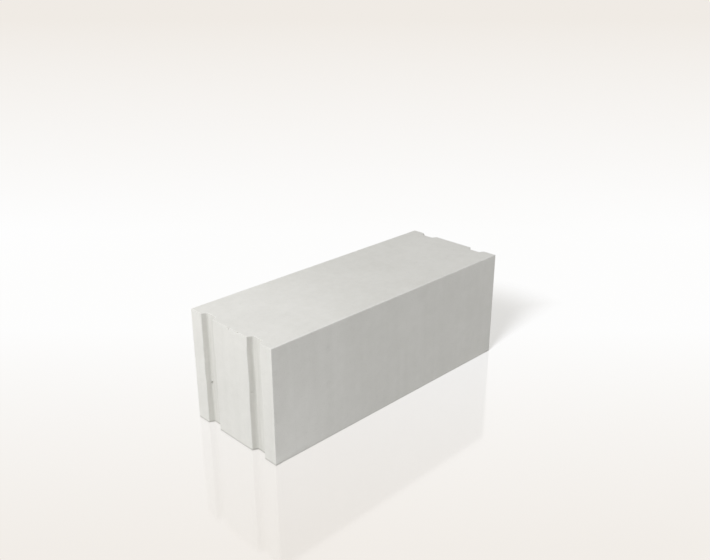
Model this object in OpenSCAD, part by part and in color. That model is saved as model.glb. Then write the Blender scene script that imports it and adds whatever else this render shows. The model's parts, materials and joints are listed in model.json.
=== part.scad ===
// Aerated concrete wall block: one sawn piece with two upright grooves in each end.
// Millimetres. The origin is the middle of the bed face, +X runs along the length and +Z is up.

/* [Block] */
// Length from end face to end face
block_length = 650; // [400:1:800]
// Width between the long faces, which is the thickness of the wall
block_width = 240; // [200:1:400]
// Height between the bed faces, which is one course of the wall
block_height = 240; // [150:1:300]
// Radius that sawing and handling leave on the outside edges
arris_radius = 1; // [0.4:0.1:4]

/* [End grooves] */
// Width of the flat strip between a groove and the long face beside it
groove_margin = 32; // [15:0.5:40]
// Width of a groove at the end face
groove_mouth = 38; // [28:0.5:48]
// Width of a groove at its floor
groove_floor = 27; // [12:0.5:36]
// Depth of a groove below the end face
groove_depth = 11; // [5:0.5:20]
// Radius worn on the two lips of a groove
lip_radius = 2; // [0.5:0.1:4]
// Radius left in the two inner corners of a groove
root_radius = 3.5; // [0.5:0.1:6]

/* [Hidden] */
// Flats that make up each rounded corner
corner_flats = 4;
// Middle of a groove, measured across the end from the block's centre line
groove_middle = block_width / 2 - groove_margin - groove_mouth / 2;

function unit(v) = v / norm(v);

// Points of the arc that rounds the corner at `tip`, from the side of `before` to the side of `after`
function corner_arc(before, tip, after, radius) =
    let (
        u = unit(before - tip),
        v = unit(after - tip),
        half_angle = acos(u * v) / 2,
        reach = radius / tan(half_angle),
        centre = tip + unit(u + v) * radius / sin(half_angle),
        first = tip + u * reach - centre,
        last = tip + v * reach - centre,
        first_angle = atan2(first.y, first.x),
        turn = (atan2(last.y, last.x) - first_angle + 540) % 360 - 180
    )
    [for (i = [0:corner_flats])
        let (angle = first_angle + turn * i / corner_flats)
        centre + radius * [cos(angle), sin(angle)]];

// An outline whose corners are [x, y, radius], with each corner rounded
function rounded_outline(corners) =
    let (count = len(corners), places = [for (c = corners) [c.x, c.y]])
    [for (i = [0:count - 1])
        each corner_arc(places[(i + count - 1) % count], places[i], places[(i + 1) % count], corners[i].z)];

// Half of an end, from the centre line to the long face: [distance across, depth below the end face, radius]
half_end = [
    [groove_middle - groove_mouth / 2, 0, lip_radius],
    [groove_middle - groove_floor / 2, groove_depth, root_radius],
    [groove_middle + groove_floor / 2, groove_depth, root_radius],
    [groove_middle + groove_mouth / 2, 0, lip_radius],
    [block_width / 2, 0, arris_radius]
];

// A whole end, from one long face to the other
whole_end = concat(
    [for (i = [len(half_end) - 1:-1:0]) [-half_end[i].x, half_end[i].y, half_end[i].z]],
    half_end
);

// The block's plan: the same end at both sides, turned half round for the second
block_plan = concat(
    [for (c = whole_end) [block_length / 2 - c.y, c.x, c.z]],
    [for (c = whole_end) [c.y - block_length / 2, -c.x, c.z]]
);

// An upright rectangle that stands on the bed, as wide as `span`, with its four corners rounded
module upright_section(span) {
    polygon(rounded_outline([
        [-span / 2, 0, arris_radius],
        [span / 2, 0, arris_radius],
        [span / 2, block_height, arris_radius],
        [-span / 2, block_height, arris_radius]
    ]));
}

// The whole block: its plan raised to the course height, with the bed edges rounded both ways
module block() {
    color([0.88, 0.875, 0.855])
    intersection() {
        linear_extrude(block_height)
            polygon(rounded_outline(block_plan));
        rotate([90, 0, 0])
            linear_extrude(block_width, center = true)
                upright_section(block_length);
        rotate([90, 0, 90])
            linear_extrude(block_length, center = true)
                upright_section(block_width);
    }
}

block();
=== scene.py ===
# %% [markdown]
# # A block of aerated concrete
# The real block is foamed concrete: it rises like dough, is sawn into blocks with thin wires while it is
# still soft, and is then hardened with steam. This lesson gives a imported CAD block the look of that
# material. The CAD part stays where it is, as a fixed frame, and a finer mesh of the same size stands in
# for it.

# %% Load the frame
import json
import math

import bpy
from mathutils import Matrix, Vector

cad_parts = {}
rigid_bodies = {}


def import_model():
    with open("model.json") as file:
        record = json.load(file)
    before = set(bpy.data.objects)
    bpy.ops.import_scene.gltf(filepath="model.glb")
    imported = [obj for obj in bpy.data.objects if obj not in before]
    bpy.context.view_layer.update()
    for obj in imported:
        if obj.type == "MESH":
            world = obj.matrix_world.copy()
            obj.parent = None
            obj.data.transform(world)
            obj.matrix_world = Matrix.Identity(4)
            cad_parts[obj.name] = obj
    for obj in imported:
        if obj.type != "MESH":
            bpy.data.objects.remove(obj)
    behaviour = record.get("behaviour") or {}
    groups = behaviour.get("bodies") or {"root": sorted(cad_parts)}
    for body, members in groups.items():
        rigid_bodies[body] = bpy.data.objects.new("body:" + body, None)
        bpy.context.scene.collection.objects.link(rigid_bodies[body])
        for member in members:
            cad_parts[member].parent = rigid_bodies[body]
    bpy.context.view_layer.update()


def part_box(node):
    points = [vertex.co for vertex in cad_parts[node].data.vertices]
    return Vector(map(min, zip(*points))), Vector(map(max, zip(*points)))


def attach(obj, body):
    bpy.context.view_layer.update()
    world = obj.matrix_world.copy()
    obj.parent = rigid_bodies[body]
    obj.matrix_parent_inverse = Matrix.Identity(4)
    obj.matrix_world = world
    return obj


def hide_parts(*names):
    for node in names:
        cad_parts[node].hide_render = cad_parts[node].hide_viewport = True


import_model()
block_low, block_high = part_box("block")
length, width, height = block_high - block_low
print("CAD block, metres:", [round(x, 4) for x in (length, width, height)])

# %% [markdown]
# ## Two helpers
# Colours are written as sRGB hex, the way a colour picker shows them, but Blender calculates with linear
# light, so one function turns the first into the second. A second function adds one node, sets its
# properties and fills its inputs with values or links, so that each tree below reads as a list of what it
# does.

# %% Colour and node helpers
MM = 0.001


def linear(hex_colour):
    """An sRGB colour such as "E2E1DC" as linear red, green, blue and alpha."""
    shares = [int(hex_colour[i:i + 2], 16) / 255 for i in (0, 2, 4)]
    return tuple(s / 12.92 if s <= 0.04045 else ((s + 0.055) / 1.055) ** 2.4 for s in shares) + (1.0,)


def add(tree, kind, inputs=None, **settings):
    """Adds a node. An input, by name or number, takes a value, a node or socket to link, or a list of these."""
    made = tree.nodes.new(kind)
    for name, value in settings.items():
        setattr(made, name, value)
    for key, value in (inputs or {}).items():
        socket = next(s for n, s in enumerate(made.inputs) if s.enabled and key in (n, s.name))
        for source in value if isinstance(value, list) else [value]:
            if isinstance(source, bpy.types.Node):
                source = next(output for output in source.outputs if output.enabled)
            if isinstance(source, bpy.types.NodeSocket):
                tree.links.new(source, socket)
            else:
                socket.default_value = source
    return made


print("white is", linear("FFFFFF"))

# %% [markdown]
# ## The camera
# The camera stands where the photographer stood: level, half-way round between the end and the long side,
# and looking down on the middle of the top face. These values were solved from the corners of the block.

# %% Camera
CAMERA_AZIMUTH = math.radians(-45.0)
CAMERA_ELEVATION = math.radians(22.46)
CAMERA_DISTANCE = 1.691
LENS_MM = 41.33
SENSOR_MM = 36.0
LOOK_AT = Vector((-0.0018, -0.001, height))

to_camera = Vector((
    math.sin(CAMERA_AZIMUTH) * math.cos(CAMERA_ELEVATION),
    -math.cos(CAMERA_AZIMUTH) * math.cos(CAMERA_ELEVATION),
    math.sin(CAMERA_ELEVATION),
))
camera_data = bpy.data.cameras.new("camera")
camera_data.lens = LENS_MM
camera_data.sensor_width = SENSOR_MM
camera = bpy.data.objects.new("camera", camera_data)
camera.location = LOOK_AT + to_camera * CAMERA_DISTANCE
camera.rotation_euler = (-to_camera).to_track_quat("-Z", "Y").to_euler()
bpy.context.scene.collection.objects.link(camera)
bpy.context.scene.camera = camera
print("camera at", [round(x, 3) for x in camera.location])

# %% [markdown]
# ## Light
# Studio light for a pale object is soft and comes from large lamps. A lamp's strength is written here as
# the share of full white that it gives the block, so the shares on a face add up to about 1 and a colour
# renders as it is written. The key lamp hangs over the near end, so the end and the near part of the top
# are the brightest. A weak fill lamp lights the long side from the far end, and the world gives the rest
# from all around. The camera and mirrors see a white backdrop instead of that world, which the Light Path
# node makes possible.

# %% Lamps and world
scene = bpy.context.scene
scene.view_settings.view_transform = "Standard"
BLOCK_MIDDLE = Vector((0.0, 0.0, height / 2))
WORLD_SHARE = 0.488
BACKDROP = "FBFAF8"
# Each lamp has a name, a direction, a distance and a width in metres, and its share of full white
LAMPS = (
    ("key_lamp", (-0.69, 0.16, 0.71), 2.0, 1.0, 0.47),
    ("fill_lamp", (0.81, -0.30, 0.50), 2.5, 1.0, 0.068),
)


def softbox(name, direction, distance, across, share):
    """A square lamp that looks at the block from a direction and gives it a share of full white."""
    data = bpy.data.lights.new(name, "AREA")
    data.shape = "SQUARE"
    data.size = across
    data.energy = share * math.pi ** 2 * distance ** 2
    lamp = bpy.data.objects.new(name, data)
    towards = Vector(direction).normalized()
    lamp.location = BLOCK_MIDDLE + towards * distance
    lamp.rotation_euler = (-towards).to_track_quat("-Z", "Y").to_euler()
    scene.collection.objects.link(lamp)
    print(name, "at", [round(x, 2) for x in lamp.location], "with", round(data.energy, 1), "watts")
    return lamp


def seen_rays(tree):
    """1 on rays that show what they hit, from a camera, mirror or glass, and 0 on rays that only light."""
    path = add(tree, "ShaderNodeLightPath").outputs
    direct = add(tree, "ShaderNodeMath", {0: path["Is Camera Ray"], 1: path["Is Glossy Ray"]},
                 operation="MAXIMUM")
    return add(tree, "ShaderNodeMath", {0: direct, 1: path["Is Transmission Ray"]}, operation="MAXIMUM")


for lamp_values in LAMPS:
    softbox(*lamp_values)

world = bpy.data.worlds.new("studio")
world.use_nodes = True
scene.world = world
world_tree = world.node_tree
world_tree.nodes.clear()
ambient = add(world_tree, "ShaderNodeBackground", {"Color": linear("FFFFFF"), "Strength": WORLD_SHARE})
backdrop = add(world_tree, "ShaderNodeBackground", {"Color": linear(BACKDROP), "Strength": 1.0})
sky = add(world_tree, "ShaderNodeMixShader", {0: seen_rays(world_tree), 1: ambient, 2: backdrop})
add(world_tree, "ShaderNodeOutputWorld", {"Surface": sky})

# %% [markdown]
# ## Glow of the table
# A glossy board for product pictures is often lit from below. The block shades the board in front of its
# long side, and without that glow the foot of the side would turn dark. A long flat lamp that lies along
# the foot and looks up stands for it. It is weak, and neither the camera nor a mirror sees it.

# %% Table glow
GLOW_WIDTH = 0.05
GLOW_SHARE = 0.15
GLOW_RAISED = 0.5 * MM

glow_data = bpy.data.lights.new("table_glow", "AREA")
glow_data.shape = "RECTANGLE"
glow_data.size = length
glow_data.size_y = GLOW_WIDTH
glow_data.energy = GLOW_SHARE * math.pi * length * GLOW_WIDTH
glow = bpy.data.objects.new("table_glow", glow_data)
glow.location = (0.0, block_low.y - GLOW_WIDTH / 2, block_low.z + GLOW_RAISED)
glow.rotation_euler = (math.pi, 0.0, 0.0)
glow.visible_camera = False
glow.visible_glossy = False
scene.collection.objects.link(glow)
print("table glow with", round(glow_data.energy, 4), "watts")

# %% [markdown]
# ## The floor
# The block stands on a glossy white board, in which it mirrors faintly. A lit white board on its own
# would render light grey, so on rays that show it, it is drawn as a backdrop that glows by itself: white
# around the block, and cream towards the camera and far off. Only past the far end does the light that
# falls on the board take over, and with it the shadow. Rays that merely carry light meet a plain lit
# board, so the block gets no extra light.

# %% Floor
FLOOR_HALF = 20.0
FLOOR_COLOUR = "F9F9F9"
FLOOR_IOR = 1.6
FLOOR_ROUGHNESS = 0.06

floor_mesh = bpy.data.meshes.new("floor")
floor_signs = ((-1, -1), (1, -1), (1, 1), (-1, 1))
floor_corners = [(x * FLOOR_HALF, y * FLOOR_HALF, block_low.z) for x, y in floor_signs]
floor_mesh.from_pydata(floor_corners, [], [(0, 1, 2, 3)])
floor = bpy.data.objects.new("floor", floor_mesh)
scene.collection.objects.link(floor)
gloss_board = bpy.data.materials.new("glossy_white_board")
gloss_board.use_nodes = True
floor_mesh.materials.append(gloss_board)
board_tree = gloss_board.node_tree
board_tree.nodes.clear()
board = add(board_tree, "ShaderNodeBsdfPrincipled", {
    "Base Color": linear(FLOOR_COLOUR), "Roughness": FLOOR_ROUGHNESS, "IOR": FLOOR_IOR})
print("floor of", 2 * FLOOR_HALF, "metres")

# %% White and cream of the backdrop
BACKDROP_WHITE, BACKDROP_CREAM = "FEFEFE", "F0EBE5"
WHITE_FROM, CREAM_IN_FRONT, CREAM_FAR_OFF = 0.25, -0.53, 9.0

board_spot = add(board_tree, "ShaderNodeTexCoord").outputs["Object"]
away_direction = Vector((-to_camera.x, -to_camera.y, 0.0)).normalized()
away = add(board_tree, "ShaderNodeVectorMath", {0: board_spot, 1: away_direction}, operation="DOT_PRODUCT")
in_front = add(board_tree, "ShaderNodeMapRange", {
    0: away.outputs["Value"], 1: WHITE_FROM, 2: CREAM_IN_FRONT})
# The logarithm to the base of the far distance runs from 0 at one metre to 1 there
far_off = add(board_tree, "ShaderNodeMath", {0: away.outputs["Value"], 1: CREAM_FAR_OFF},
              operation="LOGARITHM", use_clamp=True)
creaminess = add(board_tree, "ShaderNodeMath", {0: in_front, 1: far_off}, operation="MAXIMUM")
tone = add(board_tree, "ShaderNodeMix", {
    "Factor": creaminess, "A": linear(BACKDROP_WHITE), "B": linear(BACKDROP_CREAM)}, data_type="RGBA")
glowing = add(board_tree, "ShaderNodeEmission", {"Color": tone})
print("the backdrop turns cream", CREAM_FAR_OFF, "metres behind the block")

# %% Shadow past the far end
# There the lit board shows instead of the glow, and with it the soft shadow that the block throws away
# from the key. It starts in a point at the near corner of the far end, opens out from there and fades
# with the distance
LIT_COLOUR, LIFT_COLOUR = "D9D8D6", "969593"
SHADOW_MIDDLE = (length / 2 + 0.075, 0.03, 0.0)
SHADOW_FROM, SHADOW_TO = 0.15, 0.33
SHADOW_CORNER = (length / 2, -width / 2, 0.0)
WEDGE_DARK, WEDGE_LIGHT = math.radians(25), math.radians(2)

off_shadow = add(board_tree, "ShaderNodeVectorMath", {0: board_spot, 1: SHADOW_MIDDLE}, operation="DISTANCE")
far_fade = add(board_tree, "ShaderNodeMapRange", {
    0: off_shadow.outputs["Value"], 1: SHADOW_FROM, 2: SHADOW_TO}, interpolation_type="SMOOTHSTEP")
from_corner = add(board_tree, "ShaderNodeVectorMath", {0: board_spot, 1: SHADOW_CORNER},
                  operation="SUBTRACT")
corner_way = add(board_tree, "ShaderNodeSeparateXYZ", {0: from_corner}).outputs
corner_angle = add(board_tree, "ShaderNodeMath", {0: corner_way["Y"], 1: corner_way["X"]},
                   operation="ARCTAN2")
wedge_fade = add(board_tree, "ShaderNodeMapRange", {0: corner_angle, 1: WEDGE_DARK, 2: WEDGE_LIGHT},
                 interpolation_type="SMOOTHSTEP")
fade = add(board_tree, "ShaderNodeMath", {0: far_fade, 1: wedge_fade}, operation="MAXIMUM")
lit = add(board_tree, "ShaderNodeBsdfDiffuse", {"Color": linear(LIT_COLOUR)})
lift = add(board_tree, "ShaderNodeEmission", {"Color": linear(LIFT_COLOUR)})
shadowed = add(board_tree, "ShaderNodeAddShader", {0: lit, 1: lift})
paper = add(board_tree, "ShaderNodeMixShader", {0: fade, 1: shadowed, 2: glowing})
print("the shadow reaches", SHADOW_TO, "metres round its middle")

# %% Mirror in the board
# The gloss mirrors the block close to it, and more of it where the board is seen at a flat angle. What it
# shows blurs with the distance from the board
MIRROR_IOR = 2.08
MIRROR_ROUGHNESS = 0.09
MIRROR_FROM, MIRROR_TO = 0.9, 1.5

half_plan = (length / 2, width / 2, 0.0)
from_centre = add(board_tree, "ShaderNodeVectorMath", {0: board_spot}, operation="ABSOLUTE")
past_edge = add(board_tree, "ShaderNodeVectorMath", {0: from_centre, 1: half_plan}, operation="SUBTRACT")
outside = add(board_tree, "ShaderNodeVectorMath", {0: past_edge, 1: (0.0, 0.0, 0.0)}, operation="MAXIMUM")
gap = add(board_tree, "ShaderNodeVectorMath", {0: outside}, operation="LENGTH").outputs["Value"]
mirror = add(board_tree, "ShaderNodeBsdfGlossy", {"Color": linear("FFFFFF"), "Roughness": MIRROR_ROUGHNESS})
mirrored = add(board_tree, "ShaderNodeFresnel", {"IOR": MIRROR_IOR})
close = add(board_tree, "ShaderNodeMapRange", {0: gap, 1: MIRROR_FROM, 2: MIRROR_TO, 3: 1.0, 4: 0.0})
mirror_share = add(board_tree, "ShaderNodeMath", {0: mirrored, 1: close}, operation="MULTIPLY")
shown_board = add(board_tree, "ShaderNodeMixShader", {0: mirror_share, 1: paper, 2: mirror})
surface = add(board_tree, "ShaderNodeMixShader", {0: seen_rays(board_tree), 1: board, 2: shown_board})
add(board_tree, "ShaderNodeOutputMaterial", {"Surface": surface})
print("the mirror ends", MIRROR_TO, "metres from the block")

# %% [markdown]
# ## The sawn block
# The block's shape follows a rule, so Geometry Nodes make it in the order in which the works do: a plain
# bar of the right size, from which four tapered cutters take the upright grooves. A box with hand-placed
# grooves would do as well, but here every size is a named input of the tree, as on a drawing.

# %% Groove sizes
GROOVE_MARGIN = 32 * MM
GROOVE_MOUTH = 38 * MM
GROOVE_FLOOR = 27 * MM
GROOVE_DEPTH = 11 * MM


def new_tree(name, sizes):
    """A geometry tree with a Geometry input and output, and a named number input for each size."""
    tree = bpy.data.node_groups.new(name, "GeometryNodeTree")
    tree.interface.new_socket("Geometry", in_out="INPUT", socket_type="NodeSocketGeometry")
    tree.interface.new_socket("Geometry", in_out="OUTPUT", socket_type="NodeSocketGeometry")
    for size in sizes:
        tree.interface.new_socket(size, in_out="INPUT", socket_type="NodeSocketFloat")
    return tree


block_sizes = {
    "Length": length,
    "Width": width,
    "Height": height,
    "Groove Margin": GROOVE_MARGIN,
    "Groove Mouth": GROOVE_MOUTH,
    "Groove Floor": GROOVE_FLOOR,
    "Groove Depth": GROOVE_DEPTH,
}
saw = new_tree("sawn_block", block_sizes)
size = add(saw, "NodeGroupInput").outputs
bar_size = add(saw, "ShaderNodeCombineXYZ", {0: size["Length"], 1: size["Width"], 2: size["Height"]})
bar = add(saw, "GeometryNodeMeshCube", {"Size": bar_size})
print("the saw's sizes:", list(block_sizes))

# %% The tapered cutter
# It is twice as deep and high as its groove, and its sides slope so that it has the mouth's width
# half-way. Its rows of points are spaced so that none lies in a bed face, where the cut would leave
# slivers
CUTTER_ROWS = 95

cutter_depth = add(saw, "ShaderNodeMath", {0: size["Groove Depth"], 1: 2.0}, operation="MULTIPLY")
cutter_height = add(saw, "ShaderNodeMath", {0: size["Height"], 1: 2.0}, operation="MULTIPLY")
cutter_size = add(saw, "ShaderNodeCombineXYZ", {0: cutter_depth, 1: 1.0, 2: cutter_height})
cutter_bar = add(saw, "GeometryNodeMeshCube", {"Size": cutter_size, "Vertices Z": CUTTER_ROWS})
place = add(saw, "ShaderNodeSeparateXYZ", {0: add(saw, "GeometryNodeInputPosition")}).outputs
flare = add(saw, "ShaderNodeMath", {0: size["Groove Mouth"], 1: size["Groove Floor"]}, operation="SUBTRACT")
slope = add(saw, "ShaderNodeMath", {0: flare, 1: size["Groove Depth"]}, operation="DIVIDE")
width_here = add(saw, "ShaderNodeMath", {0: place["X"], 1: slope, 2: size["Groove Mouth"]},
                 operation="MULTIPLY_ADD")
taper = add(saw, "ShaderNodeCombineXYZ", {0: 1.0, 1: width_here, 2: 1.0})
tapered = add(saw, "ShaderNodeVectorMath", {0: add(saw, "GeometryNodeInputPosition"), 1: taper},
              operation="MULTIPLY")
cutter = add(saw, "GeometryNodeSetPosition", {"Geometry": cutter_bar, "Position": tapered})
print("a groove is", GROOVE_MOUTH, "metres wide at its mouth and", GROOVE_FLOOR, "at its floor")

# %% The four grooves
# They lie at the corners of a grid as long as the block, and the cutters at the low end are turned round
free_width = add(saw, "ShaderNodeMath", {0: size["Groove Margin"], 1: -2.0, 2: size["Width"]},
                 operation="MULTIPLY_ADD")
spread = add(saw, "ShaderNodeMath", {0: free_width, 1: size["Groove Mouth"]}, operation="SUBTRACT")
spots = add(saw, "GeometryNodeMeshGrid", {"Size X": size["Length"], "Size Y": spread, "Vertices X": 2,
                                          "Vertices Y": 2})
at_low_end = add(saw, "FunctionNodeCompare", {0: place["X"], 1: 0.0}, operation="LESS_THAN")
turn = add(saw, "ShaderNodeMath", {0: at_low_end, 1: math.pi}, operation="MULTIPLY")
cutters = add(saw, "GeometryNodeInstanceOnPoints", {
    "Points": spots, "Instance": cutter, "Rotation": add(saw, "ShaderNodeCombineXYZ", {2: turn})})
print("grooves start", GROOVE_MARGIN, "metres from the long sides")

# %% Wander of the cutters
# No cut through soft concrete runs quite straight: each wall of each groove wanders a little on its way
# up
WANDER = 0.9 * MM
WANDER_LENGTH = 28 * MM
WALLS_APART = (2.3, 3.7, 1.0)
NOISE_LOW, NOISE_HIGH = 0.3, 0.7
NOISE_DETAIL = 2.0

loose_cutters = add(saw, "GeometryNodeRealizeInstances", {"Geometry": cutters})
end_sign = add(saw, "ShaderNodeMath", {0: place["X"]}, operation="SIGN")
floors_across = add(saw, "ShaderNodeMath", {0: place["Y"], 1: size["Groove Floor"]}, operation="DIVIDE")
wall_number = add(saw, "ShaderNodeMath", {0: floors_across}, operation="ROUND")
level = add(saw, "ShaderNodeMath", {0: place["Z"], 1: WANDER_LENGTH}, operation="DIVIDE")
wall_level = add(saw, "ShaderNodeCombineXYZ", {0: end_sign, 1: wall_number, 2: level})
wander_spot = add(saw, "ShaderNodeVectorMath", {0: wall_level, 1: WALLS_APART}, operation="MULTIPLY")
wander_noise = add(saw, "ShaderNodeTexNoise", {"Vector": wander_spot, "Scale": 1.0, "Detail": NOISE_DETAIL})
wander = add(saw, "ShaderNodeMapRange", {
    0: wander_noise, 1: NOISE_LOW, 2: NOISE_HIGH, 3: -WANDER, 4: WANDER})
wandering = add(saw, "GeometryNodeSetPosition", {
    "Geometry": loose_cutters, "Offset": add(saw, "ShaderNodeCombineXYZ", {1: wander})})
grooved = add(saw, "GeometryNodeMeshBoolean", {"Mesh 1": bar, "Mesh 2": wandering}, operation="DIFFERENCE",
              solver="MANIFOLD")
half_height = add(saw, "ShaderNodeMath", {0: size["Height"], 1: 0.5}, operation="MULTIPLY")
standing = add(saw, "GeometryNodeTransform", {
    "Geometry": grooved, "Translation": add(saw, "ShaderNodeCombineXYZ", {2: half_height})})
print("a groove's walls wander by", WANDER, "metres at most")

# %% [markdown]
# ## Rounded edges
# Sawing and handling leave no edge of soft concrete sharp. A Bevel modifier rounds them all, and the tree
# tells it how far on each edge: a fold towards the inside is a root of a groove, a right angle is an
# outside edge, and the rest are lips. A rounding of radius r takes r times the tangent of half the fold
# from both sides, so that is what the edge's weight holds, as a share of the most that is taken.

# %% How far each edge is rounded
ARRIS_RADIUS = 1.0 * MM
LIP_RADIUS = 2.0 * MM
ROOT_RADIUS = 3.5 * MM
MOST_TAKEN = max(ARRIS_RADIUS, LIP_RADIUS, ROOT_RADIUS)
FOLD_LEAST = math.radians(25)
RIGHT_ANGLE_LEAST = math.radians(75)

fold = add(saw, "GeometryNodeInputMeshEdgeAngle").outputs
is_root = add(saw, "FunctionNodeCompare", {0: fold["Signed Angle"], 1: 0.0}, operation="LESS_THAN")
is_arris = add(saw, "FunctionNodeCompare", {0: fold["Unsigned Angle"], 1: RIGHT_ANGLE_LEAST})
outer_radius = add(saw, "GeometryNodeSwitch", {0: is_arris, 1: LIP_RADIUS, 2: ARRIS_RADIUS},
                   input_type="FLOAT")
radius = add(saw, "GeometryNodeSwitch", {0: is_root, 1: outer_radius, 2: ROOT_RADIUS}, input_type="FLOAT")
half_fold = add(saw, "ShaderNodeMath", {0: fold["Unsigned Angle"], 1: 0.5}, operation="MULTIPLY")
fold_share = add(saw, "ShaderNodeMath", {0: half_fold}, operation="TANGENT")
taken = add(saw, "ShaderNodeMath", {0: radius, 1: fold_share}, operation="MULTIPLY")
taken_share = add(saw, "ShaderNodeMath", {0: taken, 1: MOST_TAKEN}, operation="DIVIDE")
is_fold = add(saw, "FunctionNodeCompare", {0: fold["Unsigned Angle"], 1: FOLD_LEAST})
weight = add(saw, "ShaderNodeMath", {0: taken_share, 1: is_fold}, operation="MULTIPLY")
weighed = add(saw, "GeometryNodeStoreNamedAttribute", {
    "Geometry": standing, "Name": "bevel_weight_edge", "Value": weight}, data_type="FLOAT", domain="EDGE")
add(saw, "NodeGroupOutput", {"Geometry": weighed})
print("radii of arris, lip and root, metres:", ARRIS_RADIUS, LIP_RADIUS, ROOT_RADIUS)

# %% Saw the block and round its edges
EDGE_STEPS = 3
SAWN_SLOT, ROUNDED_SLOT = 0, 1


def put_on(piece, tree, sizes):
    """Adds the tree to the piece as a modifier and sets its sizes by each socket's identifier."""
    modifier = piece.modifiers.new(tree.name, "NODES")
    modifier.node_group = tree
    for socket in tree.interface.items_tree:
        if socket.in_out == "INPUT" and socket.name in sizes:
            modifier[socket.identifier] = sizes[socket.name]
    return modifier


body = bpy.data.objects.new("block_body", bpy.data.meshes.new("block_body"))
scene.collection.objects.link(body)
put_on(body, saw, block_sizes)
rounding = body.modifiers.new("rounded_edges", "BEVEL")
rounding.width = MOST_TAKEN
rounding.segments = EDGE_STEPS
rounding.limit_method = "WEIGHT"
rounding.material = ROUNDED_SLOT
print("edges rounded in", EDGE_STEPS, "steps")

# %% [markdown]
# ## Where the block is sawn, worn or grooved, and where light and shade are painted
# The finish isn't the same everywhere: flat faces show the saw, outside edges are rubbed pale and
# crumbly and get a painted highlight on top, and the grooves are darkened with painted shade. Painting
# these by hand would need a picture, so a second tree marks each face with a number that later steps read.
# A face lies in a groove if it is upright and some way below the end face, and the Bevel modifier gave its
# own faces a material slot by which they are known. The edges between an end and a bed get much less of
# the pale mark, because the key lamp already lights them bright.

# %% Mark the faces
GROOVE_SHARES_MIDDLE, GROOVE_SHARES_SPAN = 0.65, 0.48
UPRIGHT_LIMIT = 0.5
END_EDGE_SPARED = 0.85
PORE_SPACING = 17 * MM
PORE_LEAST, PORE_MOST = 0.4 * MM, 1.2 * MM
CHIP_SPACING = 22 * MM
CHIP_LEAST, CHIP_MOST = 0.7 * MM, 2.6 * MM

wear_sizes = {
    "Length": length,
    "Groove Depth": GROOVE_DEPTH,
    "Edge Width": math.pi / 2 * ARRIS_RADIUS,
    "Pore Spacing": PORE_SPACING,
    "Pore Least": PORE_LEAST,
    "Pore Most": PORE_MOST,
    "Chip Spacing": CHIP_SPACING,
    "Chip Least": CHIP_LEAST,
    "Chip Most": CHIP_MOST,
}
wear = new_tree("chips_and_pores", wear_sizes)
given = add(wear, "NodeGroupInput").outputs
along = add(wear, "ShaderNodeSeparateXYZ", {0: add(wear, "GeometryNodeInputPosition")}).outputs
facing = add(wear, "ShaderNodeSeparateXYZ", {0: add(wear, "GeometryNodeInputNormal")}).outputs
half_length = add(wear, "ShaderNodeMath", {0: given["Length"], 1: 0.5}, operation="MULTIPLY")
from_middle = add(wear, "ShaderNodeMath", {0: along["X"]}, operation="ABSOLUTE")
depth = add(wear, "ShaderNodeMath", {0: half_length, 1: from_middle}, operation="SUBTRACT")
depth_share = add(wear, "ShaderNodeMath", {0: depth, 1: given["Groove Depth"]}, operation="DIVIDE")
below_end = add(wear, "FunctionNodeCompare", {
    0: depth_share, 1: GROOVE_SHARES_MIDDLE, "Epsilon": GROOVE_SHARES_SPAN}, operation="EQUAL")
upright = add(wear, "FunctionNodeCompare", {0: facing["Z"], 1: 0.0, "Epsilon": UPRIGHT_LIMIT},
              operation="EQUAL")
in_groove = add(wear, "FunctionNodeBooleanMath", {0: below_end, 1: upright}, operation="AND")
rounded = add(wear, "FunctionNodeCompare", {0: add(wear, "GeometryNodeInputMaterialIndex"), 1: 0.5})
worn = add(wear, "FunctionNodeBooleanMath", {0: rounded, 1: in_groove}, operation="NIMPLY")
sawn = add(wear, "FunctionNodeBooleanMath", {0: rounded}, operation="NOT")
# The pale mark on the edges is wear with a painted highlight on top, and it is kept mostly off the edges
# between an end and a bed, which the key lamp lights already
# On the middle of an edge between an end and a bed, the two parts of the normal have a product of a half
across = add(wear, "ShaderNodeMath", {0: facing["X"], 1: facing["Z"]}, operation="MULTIPLY")
end_edge = add(wear, "ShaderNodeMath", {0: across}, operation="ABSOLUTE")
wear_and_highlight_kept = add(wear, "ShaderNodeMath", {0: end_edge, 1: -2 * END_EDGE_SPARED, 2: 1.0}, operation="MULTIPLY_ADD")
wear_and_highlight_share = add(wear, "ShaderNodeMath", {0: worn, 1: wear_and_highlight_kept}, operation="MULTIPLY")
marked = given["Geometry"]
for name, value in (("worn", wear_and_highlight_share), ("groove", in_groove), ("sawn", sawn)):
    marked = add(wear, "GeometryNodeStoreNamedAttribute", {"Geometry": marked, "Name": name, "Value": value},
                 data_type="FLOAT", domain="FACE")
print("marks on the faces: worn, groove, sawn")

# %% [markdown]
# ## Pores
# The foam's gas bubbles show on a sawn face as small round pits where the wire cut them open. Most are
# far too small to see, and the material's bump gives those. The few larger ones are modelled, because a
# close view shows that bump has no depth: small balls are scattered over the sawn faces, most of them
# near the least size, and stand a little proud, so that each takes a bowl out of the face.

# %% Scatter the pores
PORE_SKEW = 5.0
PORE_RAISED = 0.3
PORE_SEED, PORE_SIZE_SEED = 11, 21
BALL_SEGMENTS, BALL_RINGS = 8, 6

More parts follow.
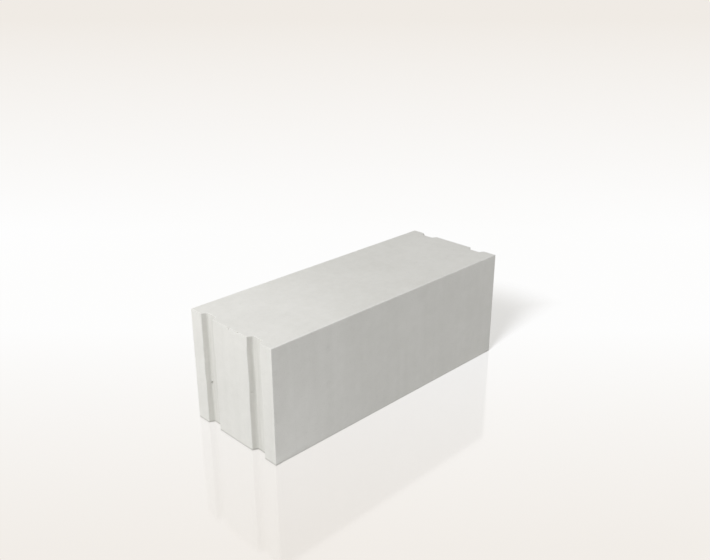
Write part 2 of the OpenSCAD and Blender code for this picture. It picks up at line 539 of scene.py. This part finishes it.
pore_area = add(wear, "ShaderNodeMath", {0: given["Pore Spacing"], 1: 2.0}, operation="POWER")
pore_density = add(wear, "ShaderNodeMath", {0: 2.0, 1: pore_area}, operation="DIVIDE")
pore_spots = add(wear, "GeometryNodeDistributePointsOnFaces", {
    "Mesh": marked, "Selection": sawn, "Distance Min": given["Pore Spacing"], "Density Max": pore_density,
    "Seed": PORE_SEED}, distribute_method="POISSON").outputs
pore_chance = add(wear, "FunctionNodeRandomValue", {"Seed": PORE_SIZE_SEED})
pore_skewed = add(wear, "ShaderNodeMath", {0: pore_chance, 1: PORE_SKEW}, operation="POWER")
pore_radius = add(wear, "ShaderNodeMapRange", {
    0: pore_skewed, 3: given["Pore Least"], 4: given["Pore Most"]})
pore_rise = add(wear, "ShaderNodeMath", {0: pore_radius, 1: PORE_RAISED}, operation="MULTIPLY")
pore_offset = add(wear, "ShaderNodeVectorMath", {0: pore_spots["Normal"], "Scale": pore_rise},
                  operation="SCALE")
pore_places = add(wear, "GeometryNodeSetPosition", {"Geometry": pore_spots["Points"], "Offset": pore_offset})
ball = add(wear, "GeometryNodeMeshUVSphere", {"Segments": BALL_SEGMENTS, "Rings": BALL_RINGS, "Radius": 1.0})
pores = add(wear, "GeometryNodeInstanceOnPoints", {
    "Points": pore_places, "Instance": ball, "Rotation": pore_spots["Rotation"], "Scale": pore_radius})
print("pores", 2 * PORE_LEAST, "to", 2 * PORE_MOST, "metres wide")

# %% [markdown]
# ## Chips
# The brittle edges crumble a little wherever they are knocked. Noise on the edge's position would make a
# wavy edge, but a real chip is a small bite with a rim. So one rough lump, a ball pushed in and out by
# noise, is set along the worn edges, turned any way and at any size, and is taken out as the pores are.
# Its faces get the edges' pale mark, because fresh breaks are as pale as rubbed concrete.

# %% Scatter the chips
CHIP_SKEW = 3.0
CHIP_RAISED = 0.5
LUMP_ROUGHNESS = 0.9
LUMP_SUBDIVISIONS = 2
LUMP_NOISE_SCALE = 1.3
CHIP_SEED, CHIP_SIZE_SEED, CHIP_TURN_SEED = 5, 22, 34

edge_area = add(wear, "ShaderNodeMath", {0: given["Chip Spacing"], 1: given["Edge Width"]},
                operation="MULTIPLY")
chip_density = add(wear, "ShaderNodeMath", {0: 1.0, 1: edge_area}, operation="DIVIDE")
chip_spots = add(wear, "GeometryNodeDistributePointsOnFaces", {
    "Mesh": marked, "Selection": worn, "Density": chip_density, "Seed": CHIP_SEED}).outputs
chip_chance = add(wear, "FunctionNodeRandomValue", {"Seed": CHIP_SIZE_SEED})
chip_skewed = add(wear, "ShaderNodeMath", {0: chip_chance, 1: CHIP_SKEW}, operation="POWER")
chip_radius = add(wear, "ShaderNodeMapRange", {
    0: chip_skewed, 3: given["Chip Least"], 4: given["Chip Most"]})
chip_rise = add(wear, "ShaderNodeMath", {0: chip_radius, 1: CHIP_RAISED}, operation="MULTIPLY")
chip_offset = add(wear, "ShaderNodeVectorMath", {0: chip_spots["Normal"], "Scale": chip_rise},
                  operation="SCALE")
chip_places = add(wear, "GeometryNodeSetPosition", {"Geometry": chip_spots["Points"], "Offset": chip_offset})
lump_ball = add(wear, "GeometryNodeMeshIcoSphere", {"Radius": 1.0, "Subdivisions": LUMP_SUBDIVISIONS})
lump_noise = add(wear, "ShaderNodeTexNoise", {"Scale": LUMP_NOISE_SCALE})
lump_rise = add(wear, "ShaderNodeMapRange", {0: lump_noise, 3: -LUMP_ROUGHNESS, 4: LUMP_ROUGHNESS})
lump_normal = add(wear, "GeometryNodeInputNormal")
lump_offset = add(wear, "ShaderNodeVectorMath", {0: lump_normal, "Scale": lump_rise}, operation="SCALE")
lump = add(wear, "GeometryNodeSetPosition", {"Geometry": lump_ball, "Offset": lump_offset})
pale_lump = add(wear, "GeometryNodeStoreNamedAttribute", {"Geometry": lump, "Name": "worn", "Value": 1.0},
                data_type="FLOAT", domain="FACE")
# A lump whose inside gets the groove mark, which is painted shade
shade_painted_lump = add(wear, "GeometryNodeStoreNamedAttribute", {"Geometry": lump, "Name": "groove", "Value": 1.0},
                 data_type="FLOAT", domain="FACE")
any_turn = add(wear, "FunctionNodeRandomValue", {
    "Max": (math.tau, math.tau, math.tau), "Seed": CHIP_TURN_SEED}, data_type="FLOAT_VECTOR")
chips = add(wear, "GeometryNodeInstanceOnPoints", {
    "Points": chip_places, "Instance": pale_lump, "Rotation": any_turn, "Scale": chip_radius})
print("chips about", 2 * CHIP_LEAST, "to", 2 * CHIP_MOST, "metres wide")

# %% [markdown]
# ## Single knocks
# Chance doesn't give this block's own marks, so the same lump is set at listed places where the real one
# was knocked: pits in the root and the wall of a groove, whose insides get painted shade, and pale breaks
# on the edges of the ends. Each has a place and a radius.

# %% Set the knocks
KNOCKS = (
    (shade_painted_lump, (-314.0, 82.0, 91.0), 2.6),
    (pale_lump, (-315.4, 79.0, 102.0), 3.0),
    (shade_painted_lump, (-320.0, -52.6, 126.0), 1.7),
    (shade_painted_lump, (316.0, 83.5, 240.0), 2.6),
    (pale_lump, (324.5, 87.0, 241.0), 4.5),
    (pale_lump, (318.0, -52.0, 240.0), 2.4),
    (pale_lump, (-325.6, 1.0, 238.0), 2.8),
    (pale_lump, (-325.4, -26.0, 239.6), 2.6),
)

knocks = []
for number, (knocked_by, knock_place, knock_radius) in enumerate(KNOCKS):
    knocks.append(add(wear, "GeometryNodeTransform", {
        "Geometry": knocked_by, "Translation": Vector(knock_place) * MM,
        "Rotation": (number, 2 * number, 0.0),
        "Scale": Vector((knock_radius, knock_radius, knock_radius)) * MM}))
print("knocks set by hand:", len(knocks))

# %% [markdown]
# ## Take the pores and chips out
# One boolean takes them all out of the block. Sawn faces are then shaded flat and the rest smooth, with
# each rim kept sharp, so that a large flat face isn't shaded as if its edges bent it.

# %% Cut and shade
SHARP_FOLD = math.radians(40)

broken = add(wear, "GeometryNodeMeshBoolean", {"Mesh 1": marked, "Mesh 2": [pores, chips] + knocks},
             operation="DIFFERENCE", solver="MANIFOLD")
still_sawn = add(wear, "GeometryNodeInputNamedAttribute", {"Name": "sawn"}, data_type="FLOAT")
not_sawn = add(wear, "FunctionNodeCompare", {0: still_sawn, 1: 0.5}, operation="LESS_THAN")
shaded = add(wear, "GeometryNodeSetShadeSmooth", {"Geometry": broken, "Shade Smooth": not_sawn})
is_rim = add(wear, "FunctionNodeCompare", {0: add(wear, "GeometryNodeInputMeshEdgeAngle"), 1: SHARP_FOLD})
rimmed = add(wear, "GeometryNodeSetShadeSmooth", {
    "Geometry": shaded, "Selection": is_rim, "Shade Smooth": False}, domain="EDGE")
plain = add(wear, "GeometryNodeRealizeInstances", {"Geometry": rimmed})
coat = add(wear, "GeometryNodeSetMaterial", {"Geometry": plain})
add(wear, "NodeGroupOutput", {"Geometry": coat})
print("rims stay sharp over", round(math.degrees(SHARP_FOLD)), "degrees")

# %% [markdown]
# ## Aerated concrete
# Steam-hardened lime, cement and fine sand make a pale, slightly warm grey that is quite matt and a
# little chalky. One colour would look like plastic, because the eye reads the material from small
# differences: a slow drift of tone, set so that its pale part lies on the near part of the block, which
# paints in the light that falls off away from the key lamp, clouds a few centimetres wide where the mix
# varies, weak upright streaks that the sawing wire left, and a fine pitted grain. All of it is noise on
# Object coordinates, at real sizes, so it runs on round the edges as it does through the real block. The
# marks that the tree left on the faces then lighten the worn edges, with a painted highlight, and darken
# the grooves with painted shade.

# %% Shade of the concrete
# Matt and chalky: the colour differs by a few per cent only, and there is hardly any shine
SHADE_DARK, SHADE_LIGHT = "D9D8D2", "F1F0EC"
SHADE_MIDDLE = 0.48
SHADE_DETAIL, SHADE_ROUGHNESS = 3.0, 0.55
# The drift is partly painted light: its offset puts the pale part on the near part of the block, where the key
# lamp lights more
DRIFT_AND_FALLOFF_SIZE = 360 * MM
CLOUD_SIZE = 70 * MM
BLOTCH_SIZE = 16 * MM
STREAK_WIDTH, STREAK_LENGTH = 20 * MM, 400 * MM
# Each layer has a size along the three axes, an offset that chooses where its light parts fall, and a
# share
SHADE_LAYERS = (
    ((DRIFT_AND_FALLOFF_SIZE, DRIFT_AND_FALLOFF_SIZE, DRIFT_AND_FALLOFF_SIZE), (43.3, 47.1, -45.6), 0.95),
    ((CLOUD_SIZE, CLOUD_SIZE, CLOUD_SIZE), (-10.3, 32.0, -10.2), 0.3),
    ((BLOTCH_SIZE, BLOTCH_SIZE, BLOTCH_SIZE), (0.0, 0.0, 0.0), 0.3),
    ((STREAK_WIDTH, STREAK_WIDTH, STREAK_LENGTH), (0.0, 0.0, 0.0), 0.3),
)

concrete = bpy.data.materials.new("sawn_aerated_concrete")
concrete.use_nodes = True
matter = concrete.node_tree
matter.nodes.clear()
spot = add(matter, "ShaderNodeTexCoord").outputs["Object"]
shade = SHADE_MIDDLE
for layer_size, layer_offset, layer_share in SHADE_LAYERS:
    layer_scale = tuple(1 / s for s in layer_size)
    scaled = add(matter, "ShaderNodeVectorMath", {0: spot, 1: layer_scale, 2: layer_offset},
                 operation="MULTIPLY_ADD")
    layer = add(matter, "ShaderNodeTexNoise", {
        "Vector": scaled, "Scale": 1.0, "Detail": SHADE_DETAIL, "Roughness": SHADE_ROUGHNESS})
    centred = add(matter, "ShaderNodeMath", {0: layer, 1: 0.5}, operation="SUBTRACT")
    shade = add(matter, "ShaderNodeMath", {0: centred, 1: layer_share, 2: shade}, operation="MULTIPLY_ADD")
mottled = add(matter, "ShaderNodeMix", {
    "Factor": shade, "A": linear(SHADE_DARK), "B": linear(SHADE_LIGHT)}, data_type="RGBA")
print("layers of shade:", len(SHADE_LAYERS))

# %% [markdown]
# ## Fine pores and grain
# Between the modelled pores the surface is full of finer ones, half a millimetre wide, on a sandy grain.
# A Voronoi texture spaces the pits evenly, as bubbles do, each cell's own random colour sets how wide its
# pit is, and a pit gets both a slightly darker floor, which is painted shade, and a dent in the bump. They
# are drawn two to four times as coarse as they are, because finer ones would vanish between the render's
# pixels.

# %% Pits and grain
PIT_PITCH = 3.2 * MM
PIT_SHARE_LEAST, PIT_SHARE_MOST = 0.12, 0.42
PIT_DEPTH = 0.35 * MM
PIT_SHADE_COLOUR = "C6C5BE"
PIT_SHADE_TONE = 0.35
GRAIN_SIZE = 1.6 * MM
GRAIN_HEIGHT = 0.12 * MM

pit_cells = add(matter, "ShaderNodeTexVoronoi", {"Vector": spot, "Scale": 1 / PIT_PITCH, "Randomness": 1.0})
pit_chance = add(matter, "ShaderNodeSeparateColor", {0: pit_cells.outputs["Color"]}).outputs["Red"]
pit_share = add(matter, "ShaderNodeMapRange", {0: pit_chance, 3: PIT_SHARE_LEAST, 4: PIT_SHARE_MOST})
pit = add(matter, "ShaderNodeMapRange", {
    0: pit_cells.outputs["Distance"], 1: 0.0, 2: pit_share, 3: 1.0, 4: 0.0}, interpolation_type="SMOOTHSTEP")
# The darker floor of a pit is painted shade
pit_shade_share = add(matter, "ShaderNodeMath", {0: pit, 1: PIT_SHADE_TONE}, operation="MULTIPLY")
pitted = add(matter, "ShaderNodeMix", {
    "Factor": pit_shade_share, "A": mottled, "B": linear(PIT_SHADE_COLOUR)}, data_type="RGBA")
grain = add(matter, "ShaderNodeTexNoise", {"Vector": spot, "Scale": 1 / GRAIN_SIZE, "Detail": NOISE_DETAIL})
grain_bump = add(matter, "ShaderNodeBump", {"Height": grain, "Distance": GRAIN_HEIGHT})
pit_bump = add(matter, "ShaderNodeBump", {
    "Height": pit, "Distance": PIT_DEPTH, "Normal": grain_bump}, invert=True)
print("fine pits every", PIT_PITCH, "metres")

# %% [markdown]
# ## Edges, grooves, smudges and foot
# Rubbed edges and fresh breaks are paler than the sawn face, and on the edges the pale mark also paints a
# highlight, while the grooves are darkened with painted shade. Neither is even, so a noise breaks them up:
# crumbs of a few millimetres on the edges, upright streaks in the grooves. The front edges get the most,
# and a pale band on the bed runs along each as a painted highlight. The long side has three faint
# smudges, each a soft spot that noise breaks up too. A thin darker line of painted shade runs along the
# foot, where the block meets the board, and it is strongest at the ends.

# %% Edges and grooves
# The pale mark is wear and, on the edges, a painted highlight as well; the groove mark is painted shade
MARKS = (
    ("worn", "F3F2EF", 0.3, (5 * MM, 5 * MM, 5 * MM)),
    # Painted shade in the grooves
    ("groove", "CCCBC4", 0.3, (5 * MM, 5 * MM, 90 * MM)),
)
MARK_LEAST, MARK_MOST = 0.4, 1.6
BAND_WIDTH, BAND_DEPTH = 6 * MM, 1.2 * MM
BAND_SHARE = 1.8

# Painted highlights: pale bands on the beds along the front edges, close to an edge sideways, and no
# deeper than the edge's rounding
where = add(matter, "ShaderNodeSeparateXYZ", {0: spot}).outputs
sideways = add(matter, "ShaderNodeMapRange", {
    0: where["Y"], 1: BAND_WIDTH - width / 2, 2: ARRIS_RADIUS - width / 2, 4: BAND_SHARE})
off_bed = add(matter, "ShaderNodeMath", {0: where["Z"], 1: height / 2}, operation="PINGPONG")
at_bed = add(matter, "ShaderNodeMath", {0: off_bed, 1: BAND_DEPTH}, operation="LESS_THAN")
highlight_band = add(matter, "ShaderNodeMath", {0: sideways, 1: at_bed}, operation="MULTIPLY")
coloured = pitted
for name, colour, tone, patch_size in MARKS:
    mark = add(matter, "ShaderNodeAttribute", attribute_name=name).outputs["Fac"]
    if name == "worn":
        mark = add(matter, "ShaderNodeMath", {0: mark, 1: highlight_band}, operation="MAXIMUM")
    patch_spot = add(matter, "ShaderNodeVectorMath", {0: spot, 1: patch_size}, operation="DIVIDE")
    patches = add(matter, "ShaderNodeTexNoise", {"Vector": patch_spot, "Scale": 1.0, "Detail": NOISE_DETAIL})
    patchy = add(matter, "ShaderNodeMapRange", {
        0: patches, 1: NOISE_LOW, 2: NOISE_HIGH, 3: tone * MARK_LEAST, 4: tone * MARK_MOST})
    share = add(matter, "ShaderNodeMath", {0: mark, 1: patchy}, operation="MULTIPLY")
    coloured = add(matter, "ShaderNodeMix", {
        "Factor": share, "A": coloured, "B": linear(colour)}, data_type="RGBA")
print("marks that colour the faces:", [mark[0] for mark in MARKS])

# %% Smudges and foot
SMUDGES = ((-190.0, -120.0, 195.0), (-191.0, -120.0, 117.0), (-317.0, -120.0, 192.0))
SMUDGE_RADIUS, SMUDGE_TONE = 12 * MM, 0.16
# One dark colour serves the smudges, which are stains, and the painted shade along the foot
DIRT_AND_SHADE_COLOUR, DIRT_SIZE = "A9A7A0", 7 * MM
FOOT_HEIGHT = 4.8 * MM
FOOT_TONE, FOOT_TONE_ENDS = 0.25, 0.75
FOOT_ENDS_FROM, FOOT_ENDS_TO = 1.3 * GROOVE_DEPTH, 1.1 * GROOVE_DEPTH
ROUGHNESS_LEAST, ROUGHNESS_MOST = 0.88, 0.96
CONCRETE_IOR = 1.5

dirt = 0.0
for smudge_place in SMUDGES:
    off_smudge = add(matter, "ShaderNodeVectorMath", {0: spot, 1: Vector(smudge_place) * MM},
                     operation="DISTANCE")
    smudge = add(matter, "ShaderNodeMapRange", {
        0: off_smudge.outputs["Value"], 1: 0.0, 2: SMUDGE_RADIUS, 3: SMUDGE_TONE, 4: 0.0},
        interpolation_type="SMOOTHSTEP")
    dirt = add(matter, "ShaderNodeMath", {0: smudge, 1: dirt}, operation="MAXIMUM")
dirt_spot = add(matter, "ShaderNodeVectorMath", {0: spot, 1: (DIRT_SIZE, DIRT_SIZE, DIRT_SIZE)},
                operation="DIVIDE")
dirt_noise = add(matter, "ShaderNodeTexNoise", {"Vector": dirt_spot, "Scale": 1.0, "Detail": NOISE_DETAIL})
dirt_share = add(matter, "ShaderNodeMapRange", {0: dirt_noise, 1: NOISE_LOW, 2: NOISE_HIGH})
dirt = add(matter, "ShaderNodeMath", {0: dirt, 1: dirt_share}, operation="MULTIPLY")
# Painted shade: a thin darker line along the foot, where the block meets the board, strongest at the ends
off_middle = add(matter, "ShaderNodeMath", {0: where["X"]}, operation="ABSOLUTE")
foot_tone = add(matter, "ShaderNodeMapRange", {
    0: off_middle, 1: length / 2 - FOOT_ENDS_FROM, 2: length / 2 - FOOT_ENDS_TO, 3: FOOT_TONE,
    4: FOOT_TONE_ENDS})
low = add(matter, "ShaderNodeMapRange", {0: where["Z"], 1: 0.0, 2: FOOT_HEIGHT, 3: 1.0, 4: 0.0})
foot = add(matter, "ShaderNodeMath", {0: low, 1: foot_tone}, operation="MULTIPLY")
dirt_and_shade = add(matter, "ShaderNodeMath", {0: foot, 1: dirt}, operation="MAXIMUM")
footed = add(matter, "ShaderNodeMix", {
    "Factor": dirt_and_shade, "A": coloured, "B": linear(DIRT_AND_SHADE_COLOUR)}, data_type="RGBA")
roughness = add(matter, "ShaderNodeMapRange", {0: shade, 3: ROUGHNESS_LEAST, 4: ROUGHNESS_MOST})
chalky = add(matter, "ShaderNodeBsdfPrincipled", {
    "Base Color": footed, "Roughness": roughness, "IOR": CONCRETE_IOR, "Normal": pit_bump})
add(matter, "ShaderNodeOutputMaterial", {"Surface": chalky})
coat.inputs["Material"].default_value = concrete
for _ in (SAWN_SLOT, ROUNDED_SLOT):
    body.data.materials.append(concrete)
print("material", concrete.name, "with", len(matter.nodes), "nodes")

# %% [markdown]
# ## A plain mesh
# The modifiers have done their work, so their result becomes the block's own mesh. An export can't carry
# node trees, and a plain mesh is what it needs.

# %% Make it a plain mesh
put_on(body, wear, wear_sizes)
depsgraph = bpy.context.evaluated_depsgraph_get()
finished = bpy.data.meshes.new_from_object(body.evaluated_get(depsgraph))
body.modifiers.clear()
body.data = finished
finished.materials.clear()
finished.materials.append(concrete)
finished.polygons.foreach_set("material_index", [0] * len(finished.polygons))
finished.calc_loop_triangles()
print("block body:", len(finished.vertices), "points,", len(finished.loop_triangles), "triangles")

# %% [markdown]
# ## A flat map for baking
# An export bakes the colours into one picture, and for that each face needs a place on it. An automatic
# unwrap would tear every pore and chip off into an island of its own. A block has six sides, so each face
# goes instead to the side that it lies closest to or looks along with, and the sides lie on the picture
# as on a cut-open carton: the four long ones under each other and the two ends beside them.

# %% Lay out the sides
MAP_GAP = 4 * MM
LEAN = 3 * MM
MAP_PIXELS = 1024
MAP_SIDES = (
    ((0, -1, 0), (1, 0, 0), (0, 0, 1), (0, 0)),
    ((0, 0, 1), (1, 0, 0), (0, 1, 0), (0, 1)),
    ((0, 1, 0), (-1, 0, 0), (0, 0, 1), (0, 2)),
    ((0, 0, -1), (1, 0, 0), (0, -1, 0), (0, 3)),
    ((-1, 0, 0), (0, -1, 0), (0, 0, 1), (1, 0)),
    ((1, 0, 0), (0, 1, 0), (0, 0, 1), (1, 1)),
)

half = (block_high - block_low) / 2
centre = (block_high + block_low) / 2
row = max(width, height) + MAP_GAP
map_size = max(length + MAP_GAP + width, 4 * row) + MAP_GAP
sides = []
for normal, u_axis, v_axis, (column, line) in MAP_SIDES:
    out, u_axis, v_axis = Vector(normal), Vector(u_axis), Vector(v_axis)
    reach = [sum(abs(a) * h for a, h in zip(axis, half)) for axis in (out, u_axis, v_axis)]
    u_start = MAP_GAP + column * (length + MAP_GAP) + reach[1] - centre.dot(u_axis)
    v_start = MAP_GAP + line * row + reach[2] - centre.dot(v_axis)
    sides.append((out, reach[0] + centre.dot(out), u_axis, u_start, v_axis, v_start))
print("a pixel of a", MAP_PIXELS, "map covers", round(map_size / MAP_PIXELS / MM, 2), "millimetres")

# %% Give each face its place on the map
bake_map = finished.uv_layers.new(name="OFBake")
flat_places = [0.0] * (2 * len(finished.loops))
for face in finished.polygons:
    side = min(sides, key=lambda s: s[1] - s[0].dot(face.center) - LEAN * s[0].dot(face.normal))
    for loop in face.loop_indices:
        point = finished.vertices[finished.loops[loop].vertex_index].co
        flat_places[2 * loop] = (side[2].dot(point) + side[3]) / map_size
        flat_places[2 * loop + 1] = (side[4].dot(point) + side[5]) / map_size
bake_map.data.foreach_set("uv", flat_places)
print("map from", round(min(flat_places), 4), "to", round(max(flat_places), 4))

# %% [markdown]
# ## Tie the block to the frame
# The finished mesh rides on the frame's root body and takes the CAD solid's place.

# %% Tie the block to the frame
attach(body, "root")
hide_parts("block")
print("the block rides on", "root")
